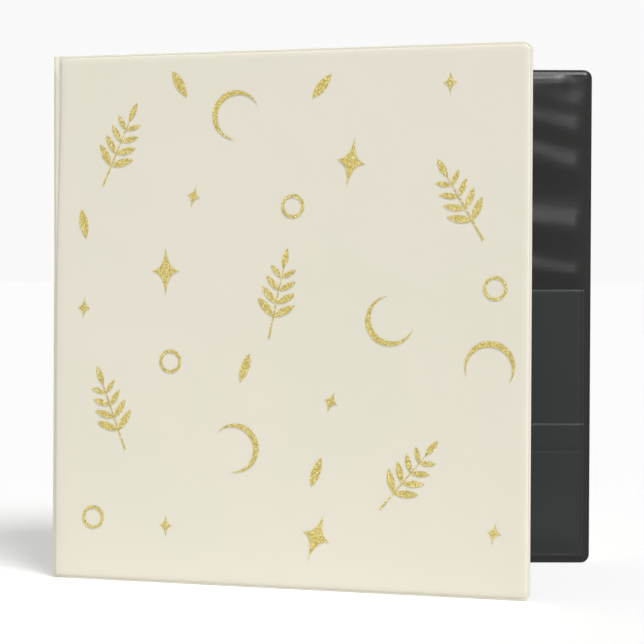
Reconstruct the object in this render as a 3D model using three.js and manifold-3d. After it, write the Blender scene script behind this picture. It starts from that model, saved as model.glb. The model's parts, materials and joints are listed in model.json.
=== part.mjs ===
// A two-inch ring binder that stands open on its lower edges, in millimetres, +Z up.
// Three welded vinyl panels with boards inside, joined by soft hinge strips, and a D-ring
// mechanism riveted inside the back cover. The back cover lies along +X and the covers open
// towards -Y, where the printed front cover stands.
import * as THREE from 'three';
import { mergeVertices } from 'three/addons/utils/BufferGeometryUtils.js';
import Module from 'manifold-3d';

const wasm = await Module();
wasm.setup();

// Case
const caseHeight = 295;
const coverWidth = 272;
const spineWidth = 58;
const boardThickness = 2.2;
const sheetThickness = 0.5;
const layerGap = 0.25;
const skinWeldWidth = 1.4;
const liningWeldWidth = 3.2;
const weldThickness = 1.8;
const weldSeam = 0.2;
const shoulderBevel = 0.7;
const coverCornerRadius = 5;
const hingeCornerRadius = 1.2;

// Soft hinges: a strip of two plies that folds along a line at each side
const stripWidth = 6;
const plyThickness = 1;
const plyClearance = 0.3;
const foldToBoardEdge = 3;
const spineTurnDegrees = 54.6;
const closingTurnDegrees = 35.4;
const frontStripTurnDegrees = 19.2;
const frontCoverTurnDegrees = 90;

// Pockets
const pocketThickness = 0.4;
const pocketGap = 0.25;
const tallPocketHeight = 164;
const shortPocketHeight = 84;
const pocketEdgeInset = 4;
const pocketCornerRadius = 3;
const backPocketStart = 68;
const frontPocketStart = 12;

// Ring mechanism
const mechanismFromHinge = 35;
const ringCount = 3;
const ringSpacing = 108;
const housingEndRoom = 24;
const housingLength = (ringCount - 1) * ringSpacing + 2 * housingEndRoom;
const housingWidth = 27;
const housingHeight = 9;
const housingWall = 1;
const housingLift = 0.3;
const rimLipWidth = 1.6;
const rimLipThickness = 0.9;
const bladeThickness = 1.2;
const bladeBeadRadius = 0.75;
const bladePivotHeight = 2.3;
const bladeRimGap = 0.4;
const bladeCentreGap = 0.5;
const bladeRestTiltDegrees = 7;
const bladeLeverGap = 0.6;
const wireRadius = 1.9;
const wireSides = 5;
const wireSteps = 20;
const ringReach = 20;
const ringHeight = 55;
const ringRootOffset = 8.6;
const ringRootGap = 0.55;
const ringPartingOffset = 2;
const ringTipGap = 0.3;
const ringTipDepth = 1.5;
const spigotRadius = 1.3;
const spigotClearance = 0.45;
const spigotStake = 0.5;
const elbowReach = 2.1;
const elbowRise = 5.3;
const shoulderRise = 8.2;
const cheekRise = 11.6;
const postFootRise = 17;
const bowFootRise = 17.5;
const rootRise = 2.2;
const slotClearance = 0.6;
const slotInnerMargin = 0.8;
const slotFloor = 2.2;

// Levers, pins and rivets
const leverPivotInset = 6;
const leverPivotHeight = 4.6;
const leverHubRadius = 2.4;
const leverHubWidth = 9;
const pinRadius = 1;
const pinClearance = 0.3;
const pinHeadProud = 0.4;
const leverPlate = 1.4;
const leverTongueReach = 7.5;
const leverTongueDrop = 1.6;
const leverTongueWidth = 7;
const leverEndClearance = 0.6;
const leverArmRise = 15;
const leverArmLean = 2.2;
const leverNeckWidth = 11;
const leverPadWidth = 20;
const leverPadHeight = 7;
const leverPadRadius = 3;
const rivetOffset = ringSpacing / 2;
const rivetRadius = 2;
const rivetHeadRadius = 4.5;
const rivetHeadHeight = 1.5;
const rivetClearance = 0.3;

// Foil print: each motif is one thin flake, its place a share of the cover's width and height
const foilThickness = 0.15;
const foilGap = 0.12;
const sprigLength = 50;
const crescentSize = 27;
const starSize = 27;
const smallStarSize = 13;
const ringMotifSize = 13;
const leafSize = 17;
const sprigPairs = 4;
const sprigLeafDegrees = 38;
const lowestLeafRatio = 0.27;
const topLeafRatio = 0.15;
const lowestLeafHeightRatio = -0.26;
const stemTopHeightRatio = 0.32;
const stemWidth = 1;
const leafBellyRatio = 0.3;
const starWidthRatio = 0.62;
const starWaistRatio = 0.06;
const crescentHornDegrees = 56;
const crescentBiteRatio = 0.92;
const ringMotifBand = 1.6;
const arcSegments = 7;
const petalSegments = 4;
const printMotifs = [
  ['sprig', 0.15, 0.83, 24], ['sprig', 0.86, 0.72, -30], ['sprig', 0.49, 0.55, 12],
  ['sprig', 0.13, 0.33, -20], ['sprig', 0.76, 0.22, 40],
  ['crescent', 0.40, 0.88, 35], ['crescent', 0.72, 0.50, -40], ['crescent', 0.40, 0.26, 160],
  ['crescent', 0.92, 0.42, 100],
  ['star', 0.64, 0.79, 10], ['star', 0.25, 0.59, 0], ['star', 0.57, 0.10, 20],
  ['smallStar', 0.84, 0.93, 0], ['smallStar', 0.31, 0.73, 15], ['smallStar', 0.07, 0.52, 5],
  ['smallStar', 0.60, 0.35, 20], ['smallStar', 0.93, 0.12, 10], ['smallStar', 0.25, 0.11, 0],
  ['ring', 0.52, 0.71, 0], ['ring', 0.26, 0.42, 0], ['ring', 0.93, 0.56, 0], ['ring', 0.09, 0.12, 0],
  ['leaf', 0.28, 0.94, 60], ['leaf', 0.58, 0.93, -50], ['leaf', 0.07, 0.68, 80],
  ['leaf', 0.57, 0.22, -70], ['leaf', 0.42, 0.41, 110],
];

// How far a body that cuts another runs on past it
const cutMargin = 1;

const panelHalf = boardThickness / 2 + layerGap + sheetThickness;
const boardHalf = boardThickness / 2;
const plyHalf = plyThickness / 2;
const radians = THREE.MathUtils.degToRad;

const creamVinyl = new THREE.MeshStandardMaterial({ color: 0xe4dfd2, roughness: 0.5 });
const blackVinyl = new THREE.MeshStandardMaterial({ color: 0x2b2b2d, roughness: 0.45 });
const clearPocket = new THREE.MeshStandardMaterial({ color: 0x3a3a3c, roughness: 0.35 });
const greyBoard = new THREE.MeshStandardMaterial({ color: 0xa39c90, roughness: 0.95 });
const nickel = new THREE.MeshStandardMaterial({ color: 0xc9cbcd, roughness: 0.2, metalness: 1 });
const springSteel = new THREE.MeshStandardMaterial({ color: 0x9a9da1, roughness: 0.4, metalness: 1 });
const goldFoil = new THREE.MeshStandardMaterial({ color: 0xccb56a, roughness: 0.35, metalness: 0.9 });

function toSolid(geometry) {
  const bare = new THREE.BufferGeometry();
  bare.setAttribute('position', geometry.getAttribute('position'));
  if (geometry.index) {
    bare.setIndex(geometry.index);
  }
  const merged = mergeVertices(bare, 1e-4);
  const corners = merged.index.array;
  const kept = [];
  for (let i = 0; i < corners.length; i += 3) {
    const [a, b, c] = [corners[i], corners[i + 1], corners[i + 2]];
    if (a !== b && b !== c && c !== a) {
      kept.push(a, b, c);
    }
  }
  return new wasm.Manifold(new wasm.Mesh({
    numProp: 3,
    vertProperties: new Float32Array(merged.getAttribute('position').array),
    triVerts: new Uint32Array(kept),
  }));
}

function toGeometry(solid) {
  const mesh = solid.getMesh();
  const geometry = new THREE.BufferGeometry();
  geometry.setAttribute('position', new THREE.BufferAttribute(mesh.vertProperties, 3));
  geometry.setIndex(new THREE.BufferAttribute(mesh.triVerts, 1));
  geometry.computeVertexNormals();
  return geometry;
}

function addPiece(parent, name, solid, material) {
  const mesh = new THREE.Mesh(toGeometry(solid), material);
  mesh.name = name;
  parent.add(mesh);
}

// A section in the XY plane carried along Z
function alongZ(shape, zLow, zHigh, curveSegments = 6) {
  const options = { depth: zHigh - zLow, bevelEnabled: false, curveSegments };
  const geometry = new THREE.ExtrudeGeometry(shape, options);
  geometry.translate(0, 0, zLow);
  return toSolid(geometry);
}

// A flat plate drawn in the XZ plane, from yLow to yHigh, with an optional bevel at both faces
function plate(shape, yLow, yHigh, bevel = 0, curveSegments = 4) {
  const geometry = new THREE.ExtrudeGeometry(shape, {
    depth: yHigh - yLow - 2 * bevel,
    bevelEnabled: bevel > 0,
    bevelThickness: bevel,
    bevelSize: bevel,
    bevelOffset: -bevel,
    bevelSegments: 1,
    curveSegments,
  });
  geometry.rotateX(Math.PI / 2);
  geometry.translate(0, yHigh - bevel, 0);
  return toSolid(geometry);
}

function box(x0, x1, y0, y1, z0, z1) {
  const geometry = new THREE.BoxGeometry(x1 - x0, y1 - y0, z1 - z0);
  geometry.translate((x0 + x1) / 2, (y0 + y1) / 2, (z0 + z1) / 2);
  return toSolid(geometry);
}

function roundedRect(x0, x1, y0, y1, radiusLeft, radiusRight) {
  const shape = new THREE.Shape();
  shape.moveTo(x0 + radiusLeft, y0);
  shape.lineTo(x1 - radiusRight, y0);
  shape.absarc(x1 - radiusRight, y0 + radiusRight, radiusRight, -Math.PI / 2, 0);
  shape.lineTo(x1, y1 - radiusRight);
  shape.absarc(x1 - radiusRight, y1 - radiusRight, radiusRight, 0, Math.PI / 2);
  shape.lineTo(x0 + radiusLeft, y1);
  shape.absarc(x0 + radiusLeft, y1 - radiusLeft, radiusLeft, Math.PI / 2, Math.PI);
  shape.lineTo(x0, y0 + radiusLeft);
  shape.absarc(x0 + radiusLeft, y0 + radiusLeft, radiusLeft, Math.PI, 1.5 * Math.PI);
  return shape;
}

// How far from a fold line the round end of a ply has its centre, so that it turns freely
function plySetback(widestTurn) {
  return (plyHalf + plyClearance / 2) / Math.cos(radians(widestTurn) / 2);
}

const backFoldSetback = plySetback(closingTurnDegrees);
const spineBackSetback = plySetback(spineTurnDegrees);
const spineFrontSetback = plySetback(frontStripTurnDegrees);
const frontFoldSetback = plySetback(frontCoverTurnDegrees);

// The two plies that run on from a panel's outer skin to its fold line at x = fold
function plyTongue(fold, side, setback) {
  const end = fold + side * setback;
  const edge = fold + side * foldToBoardEdge;
  const shape = new THREE.Shape();
  const clockwise = side < 0;
  shape.moveTo(end, -plyHalf);
  shape.absarc(end, 0, plyHalf, -Math.PI / 2, Math.PI / 2, !clockwise);
  shape.lineTo(edge - side * plyClearance, plyHalf);
  shape.lineTo(edge - side * plyClearance, -weldSeam / 2);
  shape.lineTo(edge + side * weldSeam, -weldSeam / 2);
  shape.lineTo(edge + side * weldSeam, -plyHalf);
  shape.closePath();
  return alongZ(shape, 0, caseHeight);
}

// One welded panel from fold or free edge x0 to x1: the outer skin lies at -Y, the lining at +Y
function panelSolids(x0, x1, startSetback, endSetback) {
  const outlineStart = startSetback ? x0 + foldToBoardEdge : x0;
  const outlineEnd = endSetback ? x1 - foldToBoardEdge : x1;
  const radiusStart = startSetback ? hingeCornerRadius : coverCornerRadius;
  const radiusEnd = endSetback ? hingeCornerRadius : coverCornerRadius;
  const inset = (amount) => roundedRect(
    outlineStart + amount, outlineEnd - amount, amount, caseHeight - amount,
    radiusStart, radiusEnd);
  const boardInset = liningWeldWidth + shoulderBevel + layerGap;
  const pocketInset = boardInset - layerGap;

  const halfShell = (weldWidth) => {
    const rim = plate(inset(0), -weldThickness / 2, -weldSeam / 2);
    const raised = plate(inset(weldWidth), -panelHalf, panelHalf, shoulderBevel);
    const insideHalf = box(
      x0, x1, -weldSeam / 2, panelHalf + cutMargin, -cutMargin, caseHeight + cutMargin);
    const room = plate(inset(pocketInset), -boardHalf - layerGap, cutMargin);
    return rim.add(raised.subtract(insideHalf)).subtract(room);
  };
  let skin = halfShell(skinWeldWidth);
  if (startSetback) {
    skin = skin.add(plyTongue(x0, 1, startSetback));
  }
  if (endSetback) {
    skin = skin.add(plyTongue(x1, -1, endSetback));
  }
  const lining = halfShell(liningWeldWidth).mirror([0, 1, 0]);
  const board = plate(inset(boardInset), -boardHalf, boardHalf);
  return { skin, board, lining };
}

function pocketSolid(x0, x1, height, level) {
  const outline = roundedRect(
    x0, x1, pocketEdgeInset, height, pocketCornerRadius, pocketCornerRadius);
  const yLow = panelHalf + pocketGap + level * (pocketThickness + pocketGap);
  return plate(outline, yLow, yLow + pocketThickness);
}

function addPanel(parent, name, solids) {
  addPiece(parent, `${name}_skin`, solids.skin, creamVinyl);
  addPiece(parent, `${name}_board`, solids.board, greyBoard);
  addPiece(parent, `${name}_lining`, solids.lining, blackVinyl);
}

function addPockets(parent, name, x0, x1) {
  addPiece(parent, `${name}_tall_pocket`, pocketSolid(x0, x1, tallPocketHeight, 0), clearPocket);
  addPiece(parent, `${name}_short_pocket`, pocketSolid(x0, x1, shortPocketHeight, 1), clearPocket);
}

function hingeStrip(startSetback, endSetback) {
  const shape = new THREE.Shape();
  shape.moveTo(startSetback, -plyHalf);
  shape.lineTo(stripWidth - endSetback, -plyHalf);
  shape.absarc(stripWidth - endSetback, 0, plyHalf, -Math.PI / 2, Math.PI / 2);
  shape.lineTo(startSetback, plyHalf);
  shape.absarc(startSetback, 0, plyHalf, Math.PI / 2, 1.5 * Math.PI);
  return alongZ(shape, 0, caseHeight);
}

function placed(parent, x, y, degrees) {
  const group = new THREE.Group();
  group.position.set(x, y, 0);
  group.rotation.z = radians(degrees);
  parent.add(group);
  return group;
}

// Ring mechanism, drawn with X along the cover, Y up from the lining and Z along the housing
const housingHalf = housingWidth / 2;
const housingRise = housingHeight - housingLift;
const bladePivotX = housingHalf - housingWall - bladeRimGap - bladeBeadRadius - slotClearance / 3;
const leverPivotZ = housingLength / 2 - leverPivotInset;
const leverArmReach = leverPivotInset + leverEndClearance + leverPlate;
const bladeHalfLength = leverPivotZ - leverTongueReach - bladeLeverGap;
const ringPlaces = Array.from({ length: ringCount }, (_, i) => (i - (ringCount - 1) / 2) * ringSpacing);

function barAlongX(radius, halfLength, y, z) {
  const geometry = new THREE.CylinderGeometry(radius, radius, 2 * halfLength, 20);
  geometry.rotateZ(Math.PI / 2);
  geometry.translate(0, y, z);
  return toSolid(geometry);
}

function postAlongY(radius, yLow, yHigh, z) {
  const geometry = new THREE.CylinderGeometry(radius, radius, yHigh - yLow, 16);
  geometry.translate(0, (yLow + yHigh) / 2, z);
  return toSolid(geometry);
}

function housingSolid() {
  const innerHalf = housingHalf - housingWall;
  const innerRise = housingRise - housingWall;
  const lipTop = housingLift + rimLipThickness;
  const lipAngle = Math.asin(rimLipThickness / innerRise);
  const lipInner = innerHalf * Math.cos(lipAngle) - rimLipWidth;
  const shape = new THREE.Shape();
  shape.moveTo(housingHalf, housingLift);
  shape.absellipse(0, housingLift, housingHalf, housingRise, 0, Math.PI);
  shape.lineTo(-lipInner, housingLift);
  shape.lineTo(-lipInner, lipTop);
  shape.absellipse(0, housingLift, innerHalf, innerRise, Math.PI - lipAngle, lipAngle, true);
  shape.lineTo(lipInner, lipTop);
  shape.lineTo(lipInner, housingLift);
  let housing = alongZ(shape, -housingLength / 2, housingLength / 2, 12);

  const slotHalf = wireRadius + slotClearance;
  const slotStart = ringRootOffset - wireRadius - slotInnerMargin;
  for (const z of ringPlaces) {
    for (const side of [-1, 1]) {
      const slotEnd = housingHalf + cutMargin;
      const near = Math.min(side * slotStart, side * slotEnd);
      const far = Math.max(side * slotStart, side * slotEnd);
      housing = housing.subtract(
        box(near, far, slotFloor, housingHeight + cutMargin, z - slotHalf, z + slotHalf));
    }
  }
  for (const side of [-1, 1]) {
    housing = housing.subtract(barAlongX(
      pinRadius + pinClearance, housingHalf + cutMargin, leverPivotHeight, side * leverPivotZ));
    housing = housing.subtract(postAlongY(
      rivetRadius + rivetClearance, housingHeight / 2, housingHeight + cutMargin, side * rivetOffset));
  }
  return housing;
}

// A toggle blade on the side of sign side: a bead in the rim, and a plate down to the centre line
function bladeSolid(side) {
  const length = bladePivotX - bladeCentreGap / 2;
  const shape = new THREE.Shape();
  shape.moveTo(-length, -bladeThickness / 2);
  shape.lineTo(0, -bladeThickness / 2);
  shape.lineTo(0, bladeThickness / 2);
  shape.lineTo(-length, bladeThickness / 2);
  const bead = new THREE.Shape();
  bead.absarc(0, 0, bladeBeadRadius, 0, 2 * Math.PI);
  let blade = alongZ(shape, -bladeHalfLength, bladeHalfLength);
  blade = blade.add(alongZ(bead, -bladeHalfLength, bladeHalfLength));
  blade = blade.rotate([0, 0, bladeRestTiltDegrees]).translate([bladePivotX, bladePivotHeight, 0]);
  for (const end of [-1, 1]) {
    blade = blade.subtract(postAlongY(
      rivetRadius + 3 * rivetClearance, -housingHeight, housingHeight, end * rivetOffset));
  }
  for (const z of ringPlaces) {
    const hole = postAlongY(spigotRadius + spigotClearance, -housingHeight, housingHeight, z);
    blade = blade.subtract(hole.translate([ringRootOffset, 0, 0]));
  }
  return side > 0 ? blade : blade.mirror([1, 0, 0]);
}

// Height of the middle of a blade at rest, at a distance x from the centre line
function bladeHeightAt(x) {
  return bladePivotHeight - (bladePivotX - x) * Math.tan(radians(bladeRestTiltDegrees));
}

function wireAlong(points, z) {
  const curve = new THREE.CatmullRomCurve3(
    points.map(([x, y]) => new THREE.Vector3(x, y, z)), false, 'centripetal');
  const section = new THREE.Shape();
  section.absarc(0, 0, wireRadius, 0, 2 * Math.PI);
  const geometry = new THREE.ExtrudeGeometry(section, {
    steps: wireSteps, extrudePath: curve, curveSegments: wireSides });
  return toSolid(geometry);
}

const ringRoot = bladeHeightAt(ringRootOffset) + bladeThickness / 2 + ringRootGap;
const spigotFoot = bladeHeightAt(ringRootOffset) - bladeThickness / 2 - spigotStake;

// The turned-down end of a ring wire that is staked through its blade
function spigotSolid(x, z) {
  return postAlongY(spigotRadius, spigotFoot, ringRoot + rootRise / 2, z).translate([x, 0, 0]);
}

// Everything on the bow's side of the parting line, where the bow's wedge enters the post's notch
function bowSideOfTip(shift, z) {
  const x = ringPartingOffset + shift;
  const far = 2 * housingWidth;
  const reach = 2 * wireRadius;
  const shape = new THREE.Shape();
  shape.moveTo(-far, -far);
  shape.lineTo(x - reach, -far);
  shape.lineTo(x - reach, ringHeight - reach);
  shape.lineTo(x, ringHeight - wireRadius);
  shape.lineTo(x + ringTipDepth, ringHeight);
  shape.lineTo(x, ringHeight + wireRadius);
  shape.lineTo(x - reach, ringHeight + reach);
  shape.lineTo(-far, ringHeight + reach);
  return alongZ(shape, z - reach, z + reach);
}

// The straight post of a D-ring leans out over the rim, rises and turns in at the top
function postHalfSolid(z) {
  const wire = wireAlong([
    [ringRootOffset, ringRoot],
    [ringRootOffset + elbowReach * 0.07, ringRoot + rootRise],
    [ringRootOffset + elbowReach, ringRoot + elbowRise],
    [ringReach * 0.76, ringRoot + shoulderRise],
    [ringReach * 0.95, ringRoot + cheekRise],
    [ringReach, ringRoot + postFootRise],
    [ringReach, ringHeight * 0.62],
    [ringReach, ringHeight * 0.83],
    [ringReach * 0.84, ringHeight * 0.945],
    [ringReach * 0.52, ringHeight * 0.992],
    [ringPartingOffset, ringHeight],
  ], z);
  return wire.subtract(bowSideOfTip(ringTipGap / 2, z)).add(spigotSolid(ringRootOffset, z));
}

// The bow of a D-ring swings out on the spine's side and over to the parting line
function bowHalfSolid(z) {
  const wire = wireAlong([
    [-ringRootOffset, ringRoot],
    [-ringRootOffset - elbowReach * 0.07, ringRoot + rootRise],
    [-ringRootOffset - elbowReach * 1.15, ringRoot + elbowRise],
    [-ringReach * 0.84, ringRoot + shoulderRise * 1.17],
    [-ringReach * 1.01, ringRoot + bowFootRise],
    [-ringReach * 1.03, ringHeight * 0.56],
    [-ringReach * 0.88, ringHeight * 0.78],
    [-ringReach * 0.53, ringHeight * 0.935],
    [-ringReach * 0.18, ringHeight * 0.993],
    [ringPartingOffset + ringTipDepth, ringHeight],
  ], z);
  return wire.intersect(bowSideOfTip(-ringTipGap / 2, z)).add(spigotSolid(-ringRootOffset, z));
}

// Section with X pointing out of the housing's end and Y up, its width along the mechanism's X
function acrossX(shape, width, end) {
  const options = { depth: width, bevelEnabled: false, curveSegments: 6 };
  const geometry = new THREE.ExtrudeGeometry(shape, options);
  geometry.translate(0, 0, -width / 2);
  geometry.rotateY(-end * Math.PI / 2);
  return toSolid(geometry);
}

function leverSolid(end) {
  const hub = new THREE.Shape();
  hub.absarc(0, 0, leverHubRadius, 0, 2 * Math.PI);
  const tongue = new THREE.Shape();
  tongue.moveTo(0, -leverPlate / 2);
  tongue.lineTo(-leverTongueReach, -leverTongueDrop - leverPlate / 2);
  tongue.lineTo(-leverTongueReach, -leverTongueDrop + leverPlate / 2);
  tongue.lineTo(0, leverPlate / 2);
  const arm = new THREE.Shape();
  const elbow = leverArmReach - leverPlate;
  const tipX = leverArmReach + leverArmLean;
  arm.moveTo(0, -leverPlate / 2);
  arm.lineTo(elbow, -leverPlate / 2);
  arm.quadraticCurveTo(leverArmReach, -leverPlate / 2, leverArmReach, leverPlate);
  arm.quadraticCurveTo(leverArmReach, leverArmRise * 0.6, tipX, leverArmRise);
  arm.lineTo(tipX - leverPlate, leverArmRise);
  arm.quadraticCurveTo(
    leverArmReach - leverPlate, leverArmRise * 0.6, leverArmReach - leverPlate, leverPlate);
  arm.quadraticCurveTo(leverArmReach - leverPlate, leverPlate / 2, elbow - leverPlate, leverPlate / 2);
  arm.lineTo(0, leverPlate / 2);

  const neckHalf = leverNeckWidth / 2;
  const padHalf = leverPadWidth / 2;
  const padBase = leverArmRise - leverPadHeight;
  const face = new THREE.Shape();
  face.moveTo(-neckHalf, -leverHubRadius);
  face.lineTo(neckHalf, -leverHubRadius);
  face.lineTo(neckHalf, padBase - leverPadRadius);
  face.quadraticCurveTo(neckHalf, padBase, padHalf, padBase);
  face.lineTo(padHalf, leverArmRise - leverPadRadius);
  face.quadraticCurveTo(padHalf, leverArmRise, padHalf - leverPadRadius, leverArmRise);
  face.lineTo(-padHalf + leverPadRadius, leverArmRise);
  face.quadraticCurveTo(-padHalf, leverArmRise, -padHalf, leverArmRise - leverPadRadius);
  face.lineTo(-padHalf, padBase);
  face.quadraticCurveTo(-neckHalf, padBase, -neckHalf, padBase - leverPadRadius);

  const reach = leverArmReach + leverArmLean + cutMargin;
  const plateOutline = alongZ(face, -reach, reach);
  const lever = acrossX(arm, leverPadWidth + cutMargin, end).intersect(plateOutline)
    .add(acrossX(hub, leverHubWidth, end))
    .add(acrossX(tongue, leverTongueWidth, end))
    .subtract(barAlongX(pinRadius + pinClearance, leverHubWidth, 0, 0));
  return lever.translate([0, leverPivotHeight, end * leverPivotZ]);
}

function pinSolid(end) {
  const share = (leverPivotHeight - housingLift) / housingRise;
  const wallReach = housingHalf * Math.sqrt(1 - share * share);
  return barAlongX(pinRadius, wallReach + pinHeadProud, leverPivotHeight, end * leverPivotZ);
}

const rivetDepth = 2 * panelHalf - sheetThickness - rivetClearance;

function rivetSolid(end) {
  const headBase = housingHeight + rivetClearance;
  const profile = new THREE.Path();
  profile.moveTo(0, -rivetDepth);
  profile.lineTo(rivetRadius, -rivetDepth);
  profile.lineTo(rivetRadius, headBase);
  profile.lineTo(rivetHeadRadius, headBase);
  profile.quadraticCurveTo(
    rivetHeadRadius * 0.8, headBase + rivetHeadHeight, 0, headBase + rivetHeadHeight);
  const geometry = new THREE.LatheGeometry(profile.getPoints(5), 20);
  geometry.translate(0, 0, end * rivetOffset);
  return toSolid(geometry);
}

// Print motifs, each one closed outline around its own centre
function starShape(size) {
  const shape = new THREE.Shape();
  const reach = size / 2;
  const side = reach * starWidthRatio;
  const waist = reach * starWaistRatio;
  shape.moveTo(0, reach);
  shape.quadraticCurveTo(waist, waist, side, 0);
  shape.quadraticCurveTo(waist, -waist, 0, -reach);
  shape.quadraticCurveTo(-waist, -waist, -side, 0);
  shape.quadraticCurveTo(-waist, waist, 0, reach);
  return [shape];
}

function crescentShape(size) {
  const radius = size / 2;
  const horn = radians(crescentHornDegrees);
  const bite = radius * crescentBiteRatio;
  const biteAngle = Math.asin((radius * Math.sin(horn)) / bite);
  const biteCentre = radius * Math.cos(horn) - bite * Math.cos(biteAngle);
  const shape = new THREE.Shape();
  shape.absarc(0, 0, radius, horn, 2 * Math.PI - horn);
  shape.absarc(biteCentre, 0, bite, -biteAngle, biteAngle, true);
  return [shape];
}

function ringShape(size) {
  const shape = new THREE.Shape();
  shape.absarc(0, 0, size / 2, 0, 2 * Math.PI);
  const hole = new THREE.Path();
  hole.absarc(0, 0, size / 2 - ringMotifBand, 0, 2 * Math.PI, true);
  shape.holes.push(hole);
  return [shape];
}

function leafAt(x, y, length, degrees) {
  const at = (along, across) => {
    const turn = radians(degrees);
    return [
      x + along * Math.cos(turn) - across * Math.sin(turn),
      y + along * Math.sin(turn) + across * Math.cos(turn),
    ];
  };
  const belly = length * leafBellyRatio;
  const shape = new THREE.Shape();
  shape.moveTo(...at(0, 0));
  shape.quadraticCurveTo(...at(length * 0.45, belly), ...at(length, 0));
  shape.quadraticCurveTo(...at(length * 0.45, -belly), ...at(0, 0));
  return shape;
}

function leafShape(size) {
  return [leafAt(-size / 2, 0, size, 0)];
}

// A stem with pairs of leaves that grow smaller towards the tip
function sprigShape(length) {
  const stem = new THREE.Shape();
  stem.moveTo(-stemWidth / 2, -length / 2);
  stem.lineTo(stemWidth / 2, -length / 2);
  stem.lineTo(stemWidth / 4, length * stemTopHeightRatio);
  stem.lineTo(-stemWidth / 4, length * stemTopHeightRatio);
  const topLeafFoot = 0.5 - 1.5 * topLeafRatio;
  const shapes = [stem, leafAt(0, length * topLeafFoot, length * (0.5 - topLeafFoot), 90)];
  for (let i = 0; i < sprigPairs; i += 1) {
    const step = i / sprigPairs;
    const height = length * (lowestLeafHeightRatio + (stemTopHeightRatio - lowestLeafHeightRatio) * step);
    const leaf = length * (lowestLeafRatio + (topLeafRatio - lowestLeafRatio) * step);
    shapes.push(leafAt(0, height, leaf, sprigLeafDegrees));
    shapes.push(leafAt(0, height, leaf, 180 - sprigLeafDegrees));
  }
  return shapes;
}

const motifShapes = {
  sprig: () => [sprigShape(sprigLength), petalSegments],
  crescent: () => [crescentShape(crescentSize), arcSegments],
  star: () => [starShape(starSize), petalSegments],
  smallStar: () => [starShape(smallStarSize), petalSegments],
  ring: () => [ringShape(ringMotifSize), arcSegments],
  leaf: () => [leafShape(leafSize), arcSegments],
};

function addPrint(parent) {
  const yHigh = -panelHalf - foilGap;
  printMotifs.forEach(([kind, shareX, shareZ, degrees], index) => {
    const [shapes, segments] = motifShapes[kind]();
    const flakes = shapes.map((shape) => plate(shape, yHigh - foilThickness, yHigh, 0, segments));
    const flake = flakes.reduce((joined, next) => joined.add(next))
      .rotate([0, degrees, 0])
      .translate([shareX * coverWidth, 0, shareZ * caseHeight]);
    addPiece(parent, `print_${String(index + 1).padStart(2, '0')}_${kind}`, flake, goldFoil);
  });
}

// The case, folded from the back cover round to the front cover
const binder = new THREE.Group();
const backCover = placed(binder, 0, 0, 180);
const backPanel = panelSolids(-coverWidth, 0, 0, backFoldSetback);
for (const end of [-1, 1]) {
  const hole = postAlongY(
    rivetRadius + rivetClearance, -boardHalf - layerGap / 2, panelHalf + cutMargin,
    caseHeight / 2 + end * rivetOffset).translate([-mechanismFromHinge, 0, 0]);
  backPanel.board = backPanel.board.subtract(hole);
  backPanel.lining = backPanel.lining.subtract(hole);
}
addPanel(backCover, 'back', backPanel);
addPockets(backCover, 'back', pocketEdgeInset - coverWidth, -backPocketStart);

const backStrip = placed(backCover, 0, 0, 0);
addPiece(backStrip, 'back_hinge_strip', hingeStrip(backFoldSetback, spineBackSetback), creamVinyl);

const spine = placed(backStrip, stripWidth, 0, spineTurnDegrees);
addPanel(spine, 'spine', panelSolids(0, spineWidth, spineBackSetback, spineFrontSetback));

const frontStrip = placed(spine, spineWidth, 0, frontStripTurnDegrees);
addPiece(frontStrip, 'front_hinge_strip', hingeStrip(spineFrontSetback, frontFoldSetback), creamVinyl);

const frontCover = placed(frontStrip, stripWidth, 0, frontCoverTurnDegrees);
addPanel(frontCover, 'front', panelSolids(0, coverWidth, frontFoldSetback, 0));
addPockets(frontCover, 'front', frontPocketStart, coverWidth - pocketEdgeInset);
addPrint(frontCover);

// The mechanism lies on the back cover's lining and faces the front cover
const mechanism = new THREE.Group();
mechanism.position.set(mechanismFromHinge, -panelHalf, caseHeight / 2);
mechanism.rotation.x = Math.PI;
binder.add(mechanism);
addPiece(mechanism, 'ring_housing', housingSolid(), nickel);
addPiece(mechanism, 'post_side_blade', bladeSolid(1), springSteel);
addPiece(mechanism, 'bow_side_blade', bladeSolid(-1), springSteel);
ringPlaces.forEach((z, index) => {
  addPiece(mechanism, `ring_post_${index + 1}`, postHalfSolid(z), nickel);
  addPiece(mechanism, `ring_bow_${index + 1}`, bowHalfSolid(z), nickel);
});
for (const [end, place] of [[-1, 'top'], [1, 'bottom']]) {
  addPiece(mechanism, `${place}_lever`, leverSolid(end), nickel);
  addPiece(mechanism, `${place}_lever_pin`, pinSolid(end), springSteel);
  addPiece(mechanism, `${place}_rivet`, rivetSolid(end), nickel);
}

// The origin is under the middle of the standing binder
binder.updateMatrixWorld(true);
const extent = new THREE.Box3().setFromObject(binder, true);
const middle = extent.getCenter(new THREE.Vector3());
binder.position.set(-middle.x, -middle.y, -extent.min.z);

export default binder;
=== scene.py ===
import json
import math
import bmesh
import bpy
from mathutils import Matrix, Vector, noise


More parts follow.
